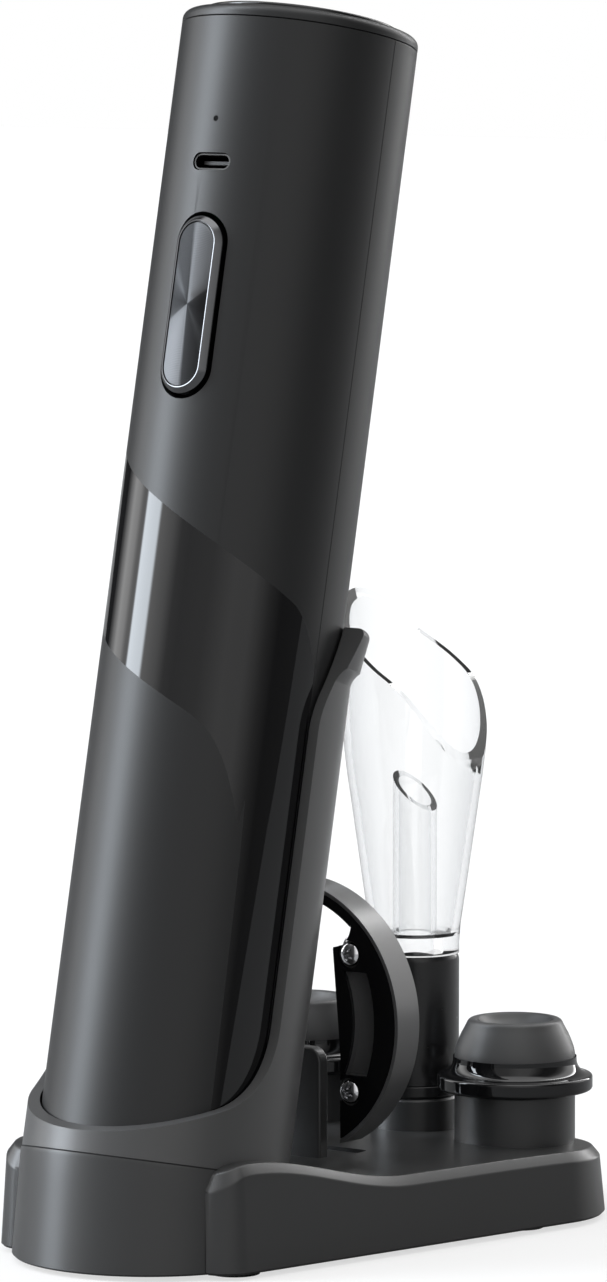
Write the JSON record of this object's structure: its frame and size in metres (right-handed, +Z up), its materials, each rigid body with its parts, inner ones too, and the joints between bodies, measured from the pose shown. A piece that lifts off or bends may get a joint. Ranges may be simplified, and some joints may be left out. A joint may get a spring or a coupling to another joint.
{
  "type": "electric wine opener set",
  "caption": "Cordless electric corkscrew leaning in a holder cup on a wedge-shaped stand, with a clear pourer, vacuum stoppers and a horseshoe foil cutter behind it.",
  "frame": {"origin": "centre of the stand's footprint, on the surface that its feet stand on", "axes": "+Z up, -Y to the front, where the button and the charging port are, and +X to the right seen from behind the front, so the stand is symmetric left to right"},
  "size_m": [0.0978, 0.1327, 0.2504],
  "materials": {
    "base_plastic": "satin moulded ABS",
    "holder_plastic": "soft satin, slightly lighter grey",
    "soft_touch_black": "soft-touch paint, broad dull highlight",
    "gloss_black": "piano black, mirror-like",
    "inner_plastic": "plain moulded",
    "stopper_plastic": "fine matte",
    "soft_rubber": "smooth moulded rubber",
    "valve_rubber": "silicone",
    "cell_sleeve": "shrink sleeve",
    "nickel": "nickel plated",
    "board_green": "solder mask",
    "light_pipe": "clear light pipe",
    "motor_steel": "zinc plated",
    "white_nylon": "natural nylon",
    "bronze": "sintered bronze",
    "button_polished": "polished black chamfer",
    "spun_metal": "spun, with fine concentric lines",
    "worm_steel": "polished steel",
    "screw_steel": "plated",
    "clear_acrylic": "clear, polished",
    "cutter_rim": "satin grey"
  },
  "bodies": {
    "stand": {"base_shell": "base_plastic", "holder_sleeve": "holder_plastic", "base_bottom_plate": "inner_plastic", "base_feet": "soft_rubber", "base_screws": "screw_steel"},
    "opener": {"front_shell": "soft_touch_black", "rear_shell": "soft_touch_black", "gloss_inlay": "gloss_black", "top_cap": "soft_touch_black", "top_disc": "gloss_black", "bottle_guide": "inner_plastic", "cork_tube": "inner_plastic", "inner_chassis": "inner_plastic", "battery_cell": "cell_sleeve", "battery_tabs": "nickel", "main_board": "board_green", "board_screws": "screw_steel", "usb_receptacle": "nickel", "usb_tongue": "inner_plastic", "led_light_pipe": "light_pipe", "tact_switches": "inner_plastic", "motor_can": "motor_steel", "motor_end_cap": "white_nylon", "motor_magnets": "motor_steel", "gearbox_housing": "white_nylon", "gearbox_cover": "motor_steel", "output_bush": "bronze"},
    "button": {"button_cap": "button_polished", "button_face": "spun_metal"},
    "corkscrew": {"worm": "worm_steel", "carrier": "motor_steel", "planet_pins": "worm_steel"},
    "planet_a": {"planet_gear_a": "white_nylon"},
    "planet_b": {"planet_gear_b": "white_nylon"},
    "planet_c": {"planet_gear_c": "white_nylon"},
    "rotor": {"rotor_core": "motor_steel", "sun_pinion": "bronze"},
    "pourer": {"pourer_spout": "clear_acrylic", "pourer_air_tube": "clear_acrylic", "pourer_stem": "soft_rubber", "pourer_collar": "inner_plastic"},
    "foil_cutter": {"cutter_frame": "cutter_rim", "cutter_face": "gloss_black", "cutter_screws": "screw_steel"},
    "stopper_right": {"stopper_right_collar": "gloss_black", "stopper_right_plug": "soft_rubber", "stopper_right_valve": "valve_rubber", "stopper_right_spring": "worm_steel"},
    "pump_cap_right": {"stopper_right_cap": "stopper_plastic"},
    "stopper_left": {"stopper_left_collar": "gloss_black", "stopper_left_plug": "soft_rubber", "stopper_left_valve": "valve_rubber", "stopper_left_spring": "worm_steel"},
    "pump_cap_left": {"stopper_left_cap": "stopper_plastic"},
    "wheel_a": {"cutting_wheel_a": "worm_steel"},
    "wheel_b": {"cutting_wheel_b": "worm_steel"},
    "wheel_c": {"cutting_wheel_c": "worm_steel"},
    "wheel_d": {"cutting_wheel_d": "worm_steel"}
  },
  "joints": [
    {"name": "opener_lift", "type": "slide", "parent": "stand", "child": "opener", "axis": [0, 0.2113, 0.9774], "range_m": [0, 0.14]},
    {"name": "button_rock", "type": "hinge", "parent": "opener", "child": "button", "pos_m": [0, -0.02012, 0.18941], "axis": [1, 0, 0], "range_deg": [-2.5, 2.5], "stiffness_Nm_per_rad": 0.6},
    {"name": "corkscrew_spin", "type": "hinge", "parent": "opener", "child": "corkscrew", "pos_m": [0, -0.01642, 0.11045], "axis": [0, 0.2113, 0.9774], "continuous": true},
    {"name": "rotor_spin", "type": "hinge", "parent": "opener", "child": "rotor", "pos_m": [0, -0.00966, 0.14172], "axis": [0, 0.2113, 0.9774], "continuous": true},
    {"name": "planet_a_spin", "type": "hinge", "parent": "corkscrew", "child": "planet_a", "pos_m": [0.009, -0.0141, 0.1212], "axis": [0, 0.2113, 0.9774], "continuous": true},
    {"name": "planet_b_spin", "type": "hinge", "parent": "corkscrew", "child": "planet_b", "pos_m": [-0.0045, -0.00648, 0.11955], "axis": [0, 0.2113, 0.9774], "continuous": true},
    {"name": "planet_c_spin", "type": "hinge", "parent": "corkscrew", "child": "planet_c", "pos_m": [-0.0045, -0.02171, 0.12285], "axis": [0, 0.2113, 0.9774], "continuous": true},
    {"name": "stopper_right_lift", "type": "slide", "parent": "stand", "child": "stopper_right", "axis": [0, 0, 1], "range_m": [0, 0.035]},
    {"name": "pump_cap_right_press", "type": "slide", "parent": "stopper_right", "child": "pump_cap_right", "axis": [0, 0, -1], "range_m": [0, 0.003], "stiffness_N_per_m": 1500, "deforming": ["stopper_right_spring"]},
    {"name": "stopper_left_lift", "type": "slide", "parent": "stand", "child": "stopper_left", "axis": [0, 0, 1], "range_m": [0, 0.035]},
    {"name": "pump_cap_left_press", "type": "slide", "parent": "stopper_left", "child": "pump_cap_left", "axis": [0, 0, -1], "range_m": [0, 0.003], "stiffness_N_per_m": 1500, "deforming": ["stopper_left_spring"]},
    {"name": "pourer_lift", "type": "slide", "parent": "stand", "child": "pourer", "axis": [0, 0, 1], "range_m": [0, 0.045]},
    {"name": "foil_cutter_lift", "type": "slide", "parent": "stand", "child": "foil_cutter", "axis": [0, 0.2113, 0.9774], "range_m": [0, 0.06]},
    {"name": "wheel_a_spin", "type": "hinge", "parent": "foil_cutter", "child": "wheel_a", "pos_m": [0.016, 0.01105, 0.0575], "axis": [0, 1, 0], "continuous": true},
    {"name": "wheel_b_spin", "type": "hinge", "parent": "foil_cutter", "child": "wheel_b", "pos_m": [0.016, 0.01105, 0.0293], "axis": [0, 1, 0], "continuous": true},
    {"name": "wheel_c_spin", "type": "hinge", "parent": "foil_cutter", "child": "wheel_c", "pos_m": [-0.016, 0.01105, 0.0575], "axis": [0, 1, 0], "continuous": true},
    {"name": "wheel_d_spin", "type": "hinge", "parent": "foil_cutter", "child": "wheel_d", "pos_m": [-0.016, 0.01105, 0.0293], "axis": [0, 1, 0], "continuous": true}
  ],
  "couplings": [
    {"joint": "rotor_spin", "follows": "corkscrew_spin", "ratio": 6},
    {"joint": "planet_a_spin", "follows": "corkscrew_spin", "ratio": -2.5},
    {"joint": "planet_b_spin", "follows": "corkscrew_spin", "ratio": -2.5},
    {"joint": "planet_c_spin", "follows": "corkscrew_spin", "ratio": -2.5}
  ]
}
